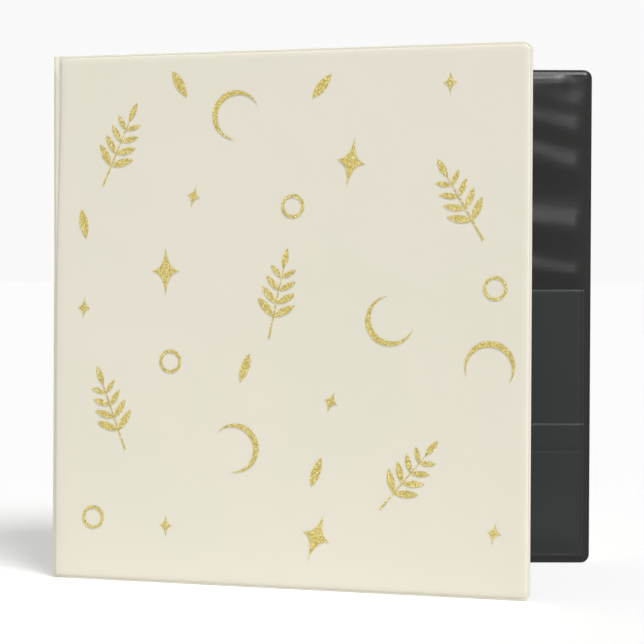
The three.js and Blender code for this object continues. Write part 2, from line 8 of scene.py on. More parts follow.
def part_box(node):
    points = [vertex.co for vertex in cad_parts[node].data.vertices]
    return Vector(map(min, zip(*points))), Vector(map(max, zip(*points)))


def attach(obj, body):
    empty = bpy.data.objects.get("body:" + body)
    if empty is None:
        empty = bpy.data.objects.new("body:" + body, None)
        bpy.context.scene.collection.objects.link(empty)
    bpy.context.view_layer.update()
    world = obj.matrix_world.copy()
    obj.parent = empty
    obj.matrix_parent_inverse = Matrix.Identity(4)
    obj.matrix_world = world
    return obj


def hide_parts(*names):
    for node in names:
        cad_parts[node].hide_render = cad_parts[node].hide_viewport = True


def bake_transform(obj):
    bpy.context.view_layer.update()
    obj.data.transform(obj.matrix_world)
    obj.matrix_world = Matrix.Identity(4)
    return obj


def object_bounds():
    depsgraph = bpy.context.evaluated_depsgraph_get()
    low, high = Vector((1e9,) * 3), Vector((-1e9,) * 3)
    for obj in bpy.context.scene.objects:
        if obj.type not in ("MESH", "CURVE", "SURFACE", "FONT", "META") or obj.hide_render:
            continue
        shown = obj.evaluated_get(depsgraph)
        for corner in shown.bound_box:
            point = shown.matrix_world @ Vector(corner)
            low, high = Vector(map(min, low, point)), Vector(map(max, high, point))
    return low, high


print("binder: load the frame")
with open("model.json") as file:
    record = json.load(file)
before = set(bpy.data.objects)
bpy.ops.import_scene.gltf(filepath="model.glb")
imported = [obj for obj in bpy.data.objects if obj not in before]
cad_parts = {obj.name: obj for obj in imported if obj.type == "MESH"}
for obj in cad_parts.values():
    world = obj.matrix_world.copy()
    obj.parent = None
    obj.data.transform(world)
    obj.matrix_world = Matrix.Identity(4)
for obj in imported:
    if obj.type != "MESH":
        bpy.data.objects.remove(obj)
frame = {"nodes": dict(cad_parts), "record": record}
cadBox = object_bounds()
record = frame["record"]
mm = 0.001


# Where the camera stands, in millimetres and degrees, with its focal length in pixels
cameraSetup = {
    "place": (-17.5, -1001.5, 170.5),
    "yaw": 0.726,
    "pitch": 1.415,
    "roll": 0.160,
    "focalPixels": 1783.3,
    "imagePixels": 644,
    "sensor": 36.0,
    "nearest": 10.0,
}


def makeCamera(setup):
    data = bpy.data.cameras.new("camera")
    data.sensor_width = setup["sensor"]
    data.lens = setup["focalPixels"] / setup["imagePixels"] * setup["sensor"]
    data.clip_start = setup["nearest"] * mm
    camera = bpy.data.objects.new("camera", data)
    bpy.context.scene.collection.objects.link(camera)
    turn = Matrix.Rotation(math.radians(-setup["yaw"]), 4, "Z")
    turn = turn @ Matrix.Rotation(math.radians(90 - setup["pitch"]), 4, "X")
    turn = turn @ Matrix.Rotation(math.radians(setup["roll"]), 4, "Z")
    camera.matrix_world = Matrix.Translation(Vector(setup["place"]) * mm) @ turn
    bpy.context.scene.camera = camera


print("binder: camera")
makeCamera(cameraSetup)


# A number that changes over the surface: its sums, products and comparisons are Math nodes
class Number:
    def __init__(self, graph, socket):
        self.graph = graph
        self.socket = socket

    def math(self, operation, other):
        return self.graph.make("ShaderNodeMath", {"operation": operation}, {0: self, 1: other})

    def __add__(self, other):
        return self.math("ADD", other)

    def __mul__(self, other):
        return self.math("MULTIPLY", other)

    def __gt__(self, other):
        return self.math("GREATER_THAN", other)


# The nodes of one material: make adds a node and gives its output, which can be fed to the next
class Graph:
    def __init__(self, name):
        self.material = bpy.data.materials.new(name)
        self.material.use_nodes = True
        self.tree = self.material.node_tree
        self.surface = self.tree.nodes["Principled BSDF"]
        self.objectPlace = self.make("ShaderNodeTexCoord", {}, {}, "Object")

    def make(self, kind, settings, sockets, output=0):
        node = self.tree.nodes.new(kind)
        for key, setting in settings.items():
            if key == "stops":
                ramp = node.color_ramp
                while len(ramp.elements) < len(setting):
                    ramp.elements.new(0.5)
                for element, (position, color) in zip(ramp.elements, setting):
                    element.position = position
                    element.color = (*color, 1.0)
            else:
                setattr(node, key, setting)
        for key, value in sockets.items():
            self.feed(node.inputs[key], value)
        return Number(self, node.outputs[output])

    def feed(self, socket, value):
        if isinstance(value, Number):
            self.tree.links.new(value.socket, socket)
        elif isinstance(value, tuple) and len(value) == 3 and socket.type == "RGBA":
            socket.default_value = (*value, 1.0)
        else:
            socket.default_value = value

    # So many waves a metre, the same every way or with one number for each axis
    def noise(self, perMetre, detail=2.0, roughness=0.5, turn=(0.0, 0.0, 0.0)):
        place, scale = self.objectPlace, perMetre
        if isinstance(perMetre, tuple):
            scale = 1.0
            place = self.make("ShaderNodeMapping", {}, {
                "Vector": self.objectPlace, "Rotation": turn, "Scale": perMetre})
        return self.make("ShaderNodeTexNoise", {}, {
            "Vector": place, "Scale": scale, "Detail": detail, "Roughness": roughness})

    def cells(self, perMetre, output):
        return self.make("ShaderNodeTexVoronoi", {"feature": "F1"}, {
            "Vector": self.objectPlace, "Scale": perMetre}, output)

    def mixColor(self, factor, first, second):
        return self.make("ShaderNodeMix", {"data_type": "RGBA"}, {0: factor, 6: first, 7: second}, 2)

    def ramp(self, factor, stops):
        return self.make("ShaderNodeValToRGB", {"stops": stops}, {0: factor})

    def bump(self, height, strength, distance, below=None):
        sockets = {"Height": height, "Strength": strength, "Distance": distance}
        if below:
            sockets["Normal"] = below
        return self.make("ShaderNodeBump", {}, sockets)

    def finish(self, **sockets):
        for key, value in sockets.items():
            self.feed(self.surface.inputs[key.replace("_", " ")], value)
        return self.material


print("binder: materials")

# Each vinyl has cloudy patches of a second tint, a slow ripple of the sheet and a fine pressed grain.
# Patches, ripples and grain are in waves a metre, and the depths of the bumps are in metres.
creamLook = {
    "name": "cream_vinyl",
    "color": (0.768, 0.752, 0.628),
    "patchColor": (0.808, 0.750, 0.650),
    "patches": 9.0,
    "ripple": (38.0, 38.0, 38.0),
    "rippleTurn": (0.0, 0.0, 0.0),
    "rippleDetail": 1.0,
    "rippleStrength": 0.12,
    "rippleDepth": 0.002,
    "grainStrength": 0.10,
    "smoothest": 0.43,
    "roughSpread": 0.10,
    "gloss": 0.22,
}

blackLook = {
    "name": "black_vinyl",
    "color": (0.0066, 0.0064, 0.0059),
    "patchColor": (0.01056, 0.01024, 0.00944),
    "patches": 22.0,
    "ripple": (42.0, 42.0, 85.0),
    "rippleTurn": (0.0, 0.3, 0.0),
    "rippleDetail": 2.0,
    "rippleStrength": 0.08,
    "rippleDepth": 0.003,
    "grainStrength": 0.10,
    "smoothest": 0.29,
    "roughSpread": 0.03,
    "gloss": 0.33,
}

pocketLook = {
    "name": "pocket_vinyl",
    "color": (0.0175, 0.0190, 0.0195),
    "patchColor": (0.023625, 0.02565, 0.026325),
    "patches": 18.0,
    "ripple": (30.0, 30.0, 30.0),
    "rippleTurn": (0.0, 0.0, 0.0),
    "rippleDetail": 1.0,
    "rippleStrength": 0.10,
    "rippleDepth": 0.002,
    "grainStrength": 0.08,
    "smoothest": 0.33,
    "roughSpread": 0.10,
    "gloss": 0.27,
}

grainLook = {"perMetre": 1700.0, "detail": 2.0, "roughness": 0.6, "depth": 0.0003}


def makeVinyl(look, pressed):
    graph = Graph(look["name"])
    patches = graph.noise(look["patches"])
    color = graph.mixColor(patches, look["color"], look["patchColor"])
    ripple = graph.noise(look["ripple"], look["rippleDetail"], turn=look["rippleTurn"])
    grain = graph.noise(pressed["perMetre"], pressed["detail"], pressed["roughness"])
    slow = graph.bump(ripple, look["rippleStrength"], look["rippleDepth"])
    normal = graph.bump(grain, look["grainStrength"], pressed["depth"], slow)
    rough = patches * look["roughSpread"] + look["smoothest"]
    return graph.finish(
        Base_Color=color, Roughness=rough, Normal=normal, Specular_IOR_Level=look["gloss"])


nickelLook = {
    "color": (0.66, 0.66, 0.64),
    "smudges": 55.0,
    "smudgeDetail": 3.0,
    "drawn": (900.0, 900.0, 20.0),
    "drawnStrength": 0.04,
    "drawnDepth": 0.0002,
    "smoothest": 0.11,
    "roughSpread": 0.14,
}


def platedNickel(look):
    graph = Graph("nickel_plate")
    smudge = graph.noise(look["smudges"], look["smudgeDetail"])
    normal = graph.bump(graph.noise(look["drawn"]), look["drawnStrength"], look["drawnDepth"])
    rough = smudge * look["roughSpread"] + look["smoothest"]
    return graph.finish(Base_Color=look["color"], Metallic=1.0, Roughness=rough, Normal=normal)


steelLook = {
    "color": (0.42, 0.43, 0.45),
    "darkColor": (0.315, 0.3225, 0.3375),
    "rolled": (700.0, 700.0, 12.0),
    "rolledDetail": 3.0,
    "rolledRoughness": 0.6,
    "rolledStrength": 0.10,
    "rolledDepth": 0.0002,
    "smoothest": 0.28,
    "roughSpread": 0.16,
}


def rolledSteel(look):
    graph = Graph("spring_steel")
    rolled = graph.noise(look["rolled"], look["rolledDetail"], look["rolledRoughness"])
    tint = graph.mixColor(rolled, look["color"], look["darkColor"])
    normal = graph.bump(rolled, look["rolledStrength"], look["rolledDepth"])
    rough = rolled * look["roughSpread"] + look["smoothest"]
    return graph.finish(Base_Color=tint, Metallic=1.0, Roughness=rough, Normal=normal)


boardLook = {
    "pulp": (0.30, 0.265, 0.215),
    "fleck": (0.14, 0.12, 0.095),
    "flecks": 1400.0,
    "fleckDetail": 1.0,
    "fleckAbove": 0.64,
    "fleckShare": 0.6,
    "fibres": (260.0, 900.0, 2400.0),
    "fibreDetail": 3.0,
    "fibreRoughness": 0.6,
    "fibreStrength": 0.3,
    "fibreDepth": 0.0003,
    "roughness": 0.9,
}


def pulpBoard(look):
    graph = Graph("grey_board")
    fibre = graph.noise(look["fibres"], look["fibreDetail"], look["fibreRoughness"])
    flecks = graph.noise(look["flecks"], look["fleckDetail"]) > look["fleckAbove"]
    color = graph.mixColor(flecks * look["fleckShare"], look["pulp"], look["fleck"])
    normal = graph.bump(fibre, look["fibreStrength"], look["fibreDepth"])
    return graph.finish(Base_Color=color, Roughness=look["roughness"], Normal=normal)


glitterLook = {
    "flakesPerMetre": 1900.0,
    "flakeStrength": 0.45,
    "flakeDepth": 0.0003,
    "metallic": 0.25,
    "smoothest": 0.25,
    "roughSpread": 0.30,
    "stops": [
        (0.00, (0.400, 0.300, 0.070)),
        (0.25, (0.540, 0.420, 0.100)),
        (0.62, (0.660, 0.545, 0.160)),
        (0.88, (0.800, 0.705, 0.280)),
        (1.00, (0.940, 0.880, 0.520)),
    ],
}


# Every flake has its own tint and tilt and a rounded top
def glitterFoil(look):
    graph = Graph("gold_glitter")
    flake = graph.cells(look["flakesPerMetre"], "Color")
    tint = graph.make("ShaderNodeSeparateColor", {}, {0: flake}, 0)
    tilt = graph.make("ShaderNodeSeparateColor", {}, {0: flake}, 1)
    top = graph.cells(look["flakesPerMetre"], "Distance")
    normal = graph.bump(top + tilt, look["flakeStrength"], look["flakeDepth"])
    rough = tilt * look["roughSpread"] + look["smoothest"]
    return graph.finish(
        Base_Color=graph.ramp(tint, look["stops"]), Metallic=look["metallic"], Roughness=rough,
        Normal=normal)


cream = makeVinyl(creamLook, grainLook)
black = makeVinyl(blackLook, grainLook)
pocket = makeVinyl(pocketLook, grainLook)
nickel = platedNickel(nickelLook)
steel = rolledSteel(steelLook)
pulp = pulpBoard(boardLook)
glitter = glitterFoil(glitterLook)


# Every panel is drawn in its own frame, in millimetres: X from fold line to fold line or free edge,
# Y towards the inside of the binder, Z up. These matrices carry it to its place at rest.
jointPlace = {j["name"]: Vector(j["pos_m"]) for j in record["behaviour"]["joints"]}
foldNames = ["back_fold", "spine_fold", "front_strip_fold", "front_cover_fold"]
foldPlaces = [Vector((jointPlace[n].x, jointPlace[n].y, 0.0)) for n in foldNames]


def headingFrom(start, end):
    return math.atan2(end.y - start.y, end.x - start.x)


# The back cover lies along X, and the front cover stands square to its hinge strip
frontCornerDegrees = 90.0
headings = [math.pi]
for start, end in zip(foldPlaces, foldPlaces[1:]):
    headings.append(headingFrom(start, end) % (2 * math.pi))
headings.append(headings[-1] + math.radians(frontCornerDegrees))
foldTurns = [after - before for before, after in zip(headings, headings[1:])]


def frameAt(place, heading):
    return Matrix.Translation(place) @ Matrix.Rotation(heading, 4, "Z") @ Matrix.Scale(mm, 4)


backFrame = frameAt(foldPlaces[0], headings[0])
spineFrame = frameAt(foldPlaces[1], headings[2])
frontFrame = frameAt(foldPlaces[3], headings[4])

caseHeight = (cadBox[1][2] - cadBox[0][2]) / mm
coverWidth = (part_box("back_skin")[1][0] - foldPlaces[0].x) / mm
spineWidth = (foldPlaces[2] - foldPlaces[1]).length / mm

# Sizes in millimetres, each step an inset and a rise, and the cuts as depths below the top rim
panelSizes = {
    "foldToEdge": 3.0,
    "cornerRadius": 5.0,
    "cornerSteps": 6,
    "seam": 0.1,
    "skinThickness": 0.35,
    "skinSteps": [(0.10, 0.30), (0.20, 0.16), (0.90, 0.02), (0.15, -0.08), (0.15, 0.38), (0.25, 0.30),
                  (0.60, 0.18), (1.40, 0.14), (1.15, 0.04)],
    "liningSteps": [(0.10, 0.40), (0.20, 0.24), (0.80, 0.0), (0.15, -0.08), (0.30, 0.15), (0.50, 0.27),
                    (0.90, 0.45)],
    "skinSpacing": 6.5,
    "liningSpacing": 2.925,
    "topCuts": [0.6, 1.3, 2.0, 2.8, 3.6, 4.5, 5.6, 7.0, 8.6],
}


def meshObject(name, bm, material, smooth=True):
    mesh = bpy.data.meshes.new(name)
    bm.to_mesh(mesh)
    bm.free()
    mesh.materials.append(material)
    if smooth:
        mesh.shade_smooth()
    thing = bpy.data.objects.new(name, mesh)
    bpy.context.scene.collection.objects.link(thing)
    return thing


def giveThickness(thing, thickness, offset=-1.0):
    solid = thing.modifiers.new("thickness", "SOLIDIFY")
    solid.thickness = thickness * mm
    solid.offset = offset
    solid.use_even_offset = False


def cutAcross(bm, axis, at, openAbove=False):
    point = (at, 0, 0) if axis == "x" else (0, 0, at)
    normal = (1, 0, 0) if axis == "x" else (0, 0, 1)
    bmesh.ops.bisect_plane(
        bm, geom=bm.verts[:] + bm.edges[:] + bm.faces[:], plane_co=point, plane_no=normal,
        clear_outer=openAbove)


# A rectangle that faces one side, with round corners where asked, raised by steps of (inset, rise)
def raisedSheet(extent, roundCorners, side, level, steps):
    x0, x1, z0, z1 = extent
    bm = bmesh.new()
    corners = [bm.verts.new((x, side * level, z)) for x, z in ((x0, z0), (x1, z0), (x1, z1), (x0, z1))]
    face = bm.faces.new(corners)
    face.normal_update()
    if face.normal.y * side < 0:
        face.normal_flip()
    chosen = [corners[i] for i in roundCorners]
    if chosen:
        bmesh.ops.bevel(
            bm, geom=chosen, offset=panelSizes["cornerRadius"], offset_type="OFFSET",
            segments=panelSizes["cornerSteps"], profile=0.5, affect="VERTICES", material=-1,
            clamp_overlap=True)
    for thickness, depth in steps:
        face = max(bm.faces, key=lambda f: f.calc_area())
        bmesh.ops.inset_region(
            bm, faces=[face], thickness=thickness, depth=depth, use_boundary=True, use_even_offset=True)
    return bm


# Cuts the sheet into small faces, closer together near the top, and opens its top where asked
def cutSheet(bm, extent, inner, spacing, openTop):
    x0, x1, z0, z1 = extent
    for axis, low, high in (("x", x0, x1), ("z", z0, z1)):
        count = max(2, round((high - low) / spacing))
        cuts = [low + (high - low) * i / count for i in range(1, count)]
        if axis == "z":
            cuts += [z1 - inner - below for below in panelSizes["topCuts"]]
            cuts += openTop["cuts"] if openTop else []
        for at in cuts:
            cutAcross(bm, axis, at)
    if openTop:
        cutAcross(bm, "z", openTop["height"], openAbove=True)


# Moves the sheet's points by a slack function of (x, z, distance from the rim), turns the lip of an
# open top and leans the rim at the fold
def shapeSheet(bm, extent, side, inner, slack, lean, openTop):
    x0, x1, z0, z1 = extent
    for vert in bm.verts:
        x, z = vert.co.x, vert.co.z
        rim = min(x - x0, x1 - x, z - z0, z1 - z) - inner
        if rim > 0:
            vert.co.y += side * slack(x, z, rim)
        if openTop:
            near = max(1 - (openTop["height"] - z) / openTop["lip"], 0.0)
            vert.co.y -= side * openTop["turn"] * near
        if lean:
            across, back = lean(x - x0, z)
            vert.co.x += across
            vert.co.y += back


# A sheet welded round its rim
def weldedSheet(
        name, place, extent, roundCorners, side, level, steps, slack, spacing, material,
        lean=None, openTop=None):
    inner = sum(step[0] for step in steps)
    bm = raisedSheet(extent, roundCorners, side, level, steps)
    cutSheet(bm, extent, inner, spacing, openTop)
    shapeSheet(bm, extent, side, inner, slack, lean, openTop)
    bmesh.ops.transform(bm, matrix=place, verts=bm.verts)
    return meshObject(name, bm, material)


def easeIn(value, reach):
    share = min(max(value / reach, 0.0), 1.0)
    return share * share * (3 - 2 * share)


def wave(x, z, lengths, seed):
    return noise.noise(Vector((x / lengths[0], z / lengths[1], seed)))


slackFlat = {"height": 0.10, "waves": (70.0, 90.0), "seed": 1.7, "rimReach": 12.0}


def flatSlack(x, z, rim):
    s = slackFlat
    return s["height"] * wave(x, z, s["waves"], s["seed"]) * easeIn(rim, s["rimReach"])


# Each fold has its crest's height, its half width and its rise
slackLining = {
    "start": 160.0,
    "blend": 14.0,
    "folds": [(276.9, 5.5, 0.5), (260.4, 8.5, 1.4), (238.2, 10.5, 1.9), (199.7, 11.5, 2.1),
              (173.3, 8.0, 1.75)],
    "rimReach": 6.5,
    "drift": 7.0,
    "driftFrom": 18.5,
    "driftReach": 38.0,
    "wander": 2.2,
    "wanderWaves": (45.0, 70.0),
    "wanderSeed": 4.2,
    "smallHeight": 0.2,
    "smallWaves": (24.0, 11.0),
    "smallSeed": 9.1,
    "lift": 0.5,
    "topRise": 2.3,
    "topDecay": 20.0,
    "topReach": 5.8,
    "topFromEdge": 9.0,
    "topEdgeReach": 14.0,
    "clearOfRings": 50.0,
    "ringReach": 42.0,
    "dentFromEdge": 10.0,
    "dentFromTop": 8.5,
    "dentReach": 5.5,
    "dentDepth": 0.3,
}


# The lining hangs loose above the pockets, in broad slanting folds, and is drawn tight by the rings
def looseSlack(x, z, rim):
    s = slackLining
    clear = easeIn(abs(x) - s["clearOfRings"], s["ringReach"])
    free = easeIn(z - s["start"], s["blend"]) * easeIn(rim, s["rimReach"]) * clear
    fromEdge = coverWidth - abs(x)
    across = z + s["drift"] * math.sin((s["driftFrom"] - fromEdge) / s["driftReach"])
    across += s["wander"] * wave(x, z, s["wanderWaves"], s["wanderSeed"])
    fold = sum(rise * math.exp(-((across - crest) / half) ** 2) for crest, half, rise in s["folds"])
    small = s["smallHeight"] * wave(x, z, s["smallWaves"], s["smallSeed"])
    share = min(rim / s["topReach"], 1.0)
    top = s["topRise"] * share * (2 - share) * math.exp(-(caseHeight - z) / s["topDecay"])
    top = top * easeIn(fromEdge - s["topFromEdge"], s["topEdgeReach"]) * clear
    dentX = (fromEdge - s["dentFromEdge"]) / s["dentReach"]
    dentZ = (caseHeight - z - s["dentFromTop"]) / s["dentReach"]
    dent = s["dentDepth"] * math.exp(-dentX * dentX - dentZ * dentZ) * clear
    return free * (s["lift"] + fold + small) + top - dent


def ridePiece(piece, body, slotName, *nodes):
    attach(piece, body)
    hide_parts(*nodes)


print("binder: covers and spine")


# Shifts and reaches in millimetres, between a low and a high point of the edge
frontEdgeLean = {
    "shift": -3.2,
    "foot": -1.0,
    "low": 165.0,
    "high": 267.0,
    "reach": 8.0,
    "turn": 0.55,
    "rim": 1.5,
}


# The front cover's skin laps over its hinge towards the foot, so that the hinge shows only at the top
def lapOverHinge(fromEdge, z):
    lean = frontEdgeLean
    share = min(max((z - lean["low"]) / (lean["high"] - lean["low"]), 0.0), 1.0)
    across = lean["shift"] * (1 - share) + lean["foot"] * max(1 - z / lean["low"], 0.0)
    across *= 1 - easeIn(fromEdge, lean["reach"])
    back = lean["turn"] * (1 - share) * max(1 - fromEdge / lean["rim"], 0.0)
    return across, back


# One cover or the spine: an outer skin and an inner lining, with round corners at an open end
def addPanel(name, body, place, x0, x1, openStart, openEnd, innerSlack, lean=None):
    p = panelSizes
    start = x0 + (0.0 if openStart else p["foldToEdge"])
    end = x1 - (0.0 if openEnd else p["foldToEdge"])
    corners = ([0, 3] if openStart else []) + ([1, 2] if openEnd else [])
    extent = (start, end, 0.0, caseHeight)
    skin = weldedSheet(
        f"{name}_outer_vinyl", place, extent, corners, -1, p["seam"], p["skinSteps"],
        flatSlack, p["skinSpacing"], cream, lean)
    giveThickness(skin, p["skinThickness"])
    ridePiece(skin, body, "cream_vinyl", f"{name}_skin")
    lining = weldedSheet(
        f"{name}_inner_vinyl", place, extent, corners, 1, p["seam"], p["liningSteps"],
        innerSlack, p["liningSpacing"], black)
    giveThickness(lining, p["skinThickness"])
    ridePiece(lining, body, "black_vinyl", f"{name}_lining")


addPanel("back", "back_cover", backFrame, -coverWidth, 0.0, True, False, looseSlack)
addPanel("spine", "spine", spineFrame, 0.0, spineWidth, False, False, flatSlack)
addPanel("front", "front_cover", frontFrame, 0.0, coverWidth, False, True, looseSlack, lapOverHinge)

print("binder: pockets")

# Sizes in millimetres, each step an inset and a rise, and the cuts along the crease as shares of its
# reach
pocketSizes = {
    "tall": 164.0,
    "short": 84.0,
    "foot": 4.0,
    "fromEdge": 4.0,
    "backStart": 68.0,
    "frontStart": 12.0,
    "tallLevel": 1.98,
    "shortLevel": 2.55,
    "steps": [(0.10, 0.12), (0.12, 0.05), (1.60, 0.0), (0.22, -0.10), (0.30, 0.12), (0.50, 0.10)],
    "thickness": 0.22,
    "spacing": 7.0,
    "overTop": 8.0,
    "lip": 0.8,
    "lipTurn": 0.38,
    "waveHeight": 0.10,
    "waves": (60.0, 45.0),
    "waveSeed": 6.3,
    "lift": 0.05,
    "rimReach": 14.0,
    "belly": 3.4,
    "bellyRimReach": 6.0,
    "bellyTop": 62.0,
    "creaseHeight": 67.6,
    "creaseReach": 0.7,
    "creaseDepth": 0.16,
    "creaseCuts": (-1.4, -0.7, 0.0, 0.7, 1.4),
}


# The pocket sheets fill out a little towards the foot
def pocketSlack(x, z, rim):
    p = pocketSizes
    loose = p["waveHeight"] * wave(x, z, p["waves"], p["waveSeed"]) + p["lift"]
    belly = p["belly"] * max(1 - z / p["bellyTop"], 0.0) ** 2 * easeIn(rim, p["bellyRimReach"])
    return loose * easeIn(rim, p["rimReach"]) + belly


# A pressed crease runs across the short pocket, below its top
def shortPocketSlack(x, z, rim):
    p = pocketSizes
    crease = (z - p["creaseHeight"]) / p["creaseReach"]
    return pocketSlack(x, z, rim) - p["creaseDepth"] * math.exp(-crease * crease)


def addPockets(name, body, place, x0, x1):
    p = pocketSizes
    kinds = (("tall", p["tallLevel"], pocketSlack), ("short", p["shortLevel"], shortPocketSlack))
    for kind, level, slack in kinds:
        cuts = [p[kind] - p["lip"]]
        if kind == "short":
            cuts += [p["creaseHeight"] + share * p["creaseReach"] for share in p["creaseCuts"]]
        openTop = {"height": p[kind], "lip": p["lip"], "turn": p["lipTurn"], "cuts": cuts}
        sheet = weldedSheet(
            f"{name}_{kind}_pocket_sheet", place, (x0, x1, p["foot"], p[kind] + p["overTop"]), [], 1,
            level, p["steps"], slack, p["spacing"], pocket, openTop=openTop)
        giveThickness(sheet, p["thickness"])
        ridePiece(sheet, body, "pocket_vinyl", f"{name}_{kind}_pocket")


backReach = (pocketSizes["fromEdge"] - coverWidth, -pocketSizes["backStart"])
frontReach = (pocketSizes["frontStart"], coverWidth - pocketSizes["fromEdge"])
addPockets("back", "back_cover", backFrame, *backReach)
addPockets("front", "front_cover", frontFrame, *frontReach)

print("binder: hinges")

hingeSizes = {
    "plyThickness": 0.48,
    "plyOffset": 0.26,
    "bendRadius": 1.9,
    "underPanel": 3.7,
    "stripHalf": 3.0,
    "acrossFaces": 18,
    "upFaces": 24,
    "blendReach": 2.2,
}


# Lays a flat ply, drawn along the sheet and up it, round the bend of the resting hinge
def bendPly(bm, before, length, turn, shift):
    radius = hingeSizes["bendRadius"]
    tangent = radius * math.tan(turn / 2)
    straight = before - tangent
    for vert in bm.verts:
        along = (vert.co.x + 0.5) * length
        height = (vert.co.y + 0.5) * caseHeight
        if along < straight:
            x, y, heading = along - before, 0.0, 0.0
        else:
            heading = min((along - straight) / radius, turn)
            beyond = max(along - straight - radius * turn, 0.0)
            x = -tangent + radius * math.sin(heading) + beyond * math.cos(heading)
            y = radius * (1 - math.cos(heading)) + beyond * math.sin(heading)
        vert.co = Vector((x - shift * math.sin(heading), y + shift * math.cos(heading), height))


# One ply over one fold, from under one panel's edge to the hinge strip's middle
def foldPly(name, fold, side, material):
    h = hingeSizes
    before = h["stripHalf"] if fold % 2 else h["underPanel"]
    after = h["underPanel"] if fold % 2 else h["stripHalf"]
    turn = foldTurns[fold]
    length = before + after - 2 * h["bendRadius"] * math.tan(turn / 2) + h["bendRadius"] * turn
    bm = bmesh.new()
    bmesh.ops.create_grid(bm, x_segments=h["acrossFaces"], y_segments=h["upFaces"], size=0.5)
    bendPly(bm, before, length, turn, side * h["plyOffset"])
    place = frameAt(foldPlaces[fold], headings[fold])
    bmesh.ops.transform(bm, matrix=place, verts=bm.verts)
    bmesh.ops.recalc_face_normals(bm, faces=bm.faces)
    ply = meshObject(name, bm, material)
    giveThickness(ply, h["plyThickness"], 0.0)
    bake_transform(ply)
    return ply


for fold, title in enumerate(("back_inner", "back_outer", "front_outer", "front_inner")):
    foldPly(f"{title}_fold_skin", fold, -1, cream)
    foldPly(f"{title}_fold_lining", fold, 1, black)
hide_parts("back_hinge_strip")
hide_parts("front_hinge_strip")

print("binder: ring mechanism")

# Mechanism frame, in millimetres: X along the cover, Y out from the lining to the rings' tops, Z up
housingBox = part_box("ring_housing")
mechanismX = (housingBox[0][0] + housingBox[1][0]) / 2

ringSizes = {
    "wire": 1.9,
    "sides": 20,
    "steps": 12,
    "post": [(8.6, 3.3), (8.75, 5.4), (10.7, 8.4), (15.2, 11.1), (19.0, 14.7), (20.0, 20.2), (20.0, 34.1),
             (20.0, 45.6), (16.8, 52.0), (10.4, 54.6), (2.0, 55.0)],
    "bow": [(-8.6, 3.3), (-8.75, 5.4), (-11.0, 8.6), (-16.8, 12.8), (-20.2, 20.7), (-20.6, 30.8),
            (-17.6, 42.9), (-10.6, 51.4), (-3.6, 54.6), (3.5, 55.0)],
    "top": 55.0,
    "parting": 2.0,
    "tipDepth": 1.5,
    "tipGap": 0.3,
    "spigot": 1.3,
    "spigotSpan": (-0.3, 4.4),
    "sharpDegrees": 40.0,
    "liningLevel": 1.85,
}
liningFace = foldPlaces[0].y - ringSizes["liningLevel"] * mm


# The outline, in the mechanism frame, of the side of the parting line where the bow lies
def bowSide(shift, far=60.0):
    r = ringSizes
    x, top, reach = r["parting"] + shift, r["top"], 2 * r["wire"]
    return [(-far, -far), (x - reach, -far), (x - reach, top - reach), (x, top - r["wire"]),
            (x + r["tipDepth"], top), (x, top + r["wire"]), (x - reach, top + reach), (-far, top + reach)]


def mechanismPoint(x, y, height):
    return Vector((mechanismX + x * mm, liningFace - y * mm, height))


# The bow ends in a wedge and the post in the notch that takes it
def cutTip(half, kind, height):
    shift = ringSizes["tipGap"] / 2 * (1 if kind == "post" else -1)
    reach = 2 * ringSizes["wire"] * mm
    bm = bmesh.new()
    foot = [bm.verts.new(mechanismPoint(x, y, height - reach)) for x, y in bowSide(shift)]
    face = bm.faces.new(foot)
    raised = bmesh.ops.extrude_face_region(bm, geom=[face])["geom"]
    bmesh.ops.translate(
        bm, vec=(0, 0, 2 * reach), verts=[g for g in raised if isinstance(g, bmesh.types.BMVert)])
    bmesh.ops.recalc_face_normals(bm, faces=bm.faces)
    cutter = meshObject("tip_cutter", bm, nickel, smooth=False)
    cut = half.modifiers.new("tip", "BOOLEAN")
    cut.operation = "DIFFERENCE" if kind == "post" else "INTERSECT"
    cut.solver = "EXACT"
    cut.object = cutter
    bpy.context.view_layer.update()
    shaped = bpy.data.meshes.new_from_object(half.evaluated_get(bpy.context.evaluated_depsgraph_get()))
    half.modifiers.remove(cut)
    half.data = shaped
    bpy.data.objects.remove(cutter)


# The turned-down end of the wire that is staked through its blade
def addSpigot(half, kind, height):
    low, high = ringSizes["spigotSpan"]
    x = ringSizes[kind][0][0]
    bm = bmesh.new()
    bm.from_mesh(half.data)
    middle = mechanismPoint(x, (low + high) / 2, height)
    place = Matrix.Translation(middle) @ Matrix.Rotation(math.radians(90), 4, "X")
    bmesh.ops.create_cone(
        bm, cap_ends=True, segments=ringSizes["sides"], radius1=ringSizes["spigot"] * mm,
        radius2=ringSizes["spigot"] * mm, depth=(high - low) * mm, matrix=place)
    bm.to_mesh(half.data)
    bm.free()


def sweptWire(name, points, height):
    curve = bpy.data.curves.new(name, "CURVE")
    curve.dimensions = "3D"
    curve.bevel_depth = ringSizes["wire"] * mm
    curve.bevel_resolution = ringSizes["sides"] // 4 - 1
    curve.use_fill_caps = True
    curve.resolution_u = ringSizes["steps"]
    line = curve.splines.new("BEZIER")
    line.bezier_points.add(len(points) - 1)
    for knot, (x, y) in zip(line.bezier_points, points):
        knot.co = mechanismPoint(x, y, height)
        knot.handle_left_type = "AUTO"
        knot.handle_right_type = "AUTO"
    shape = bpy.data.objects.new(name + "_line", curve)
    bpy.context.scene.collection.objects.link(shape)
    bpy.context.view_layer.update()
    mesh = bpy.data.meshes.new_from_object(shape)
    bpy.data.objects.remove(shape)
    wire = bpy.data.objects.new(name, mesh)
    bpy.context.scene.collection.objects.link(wire)
    return wire


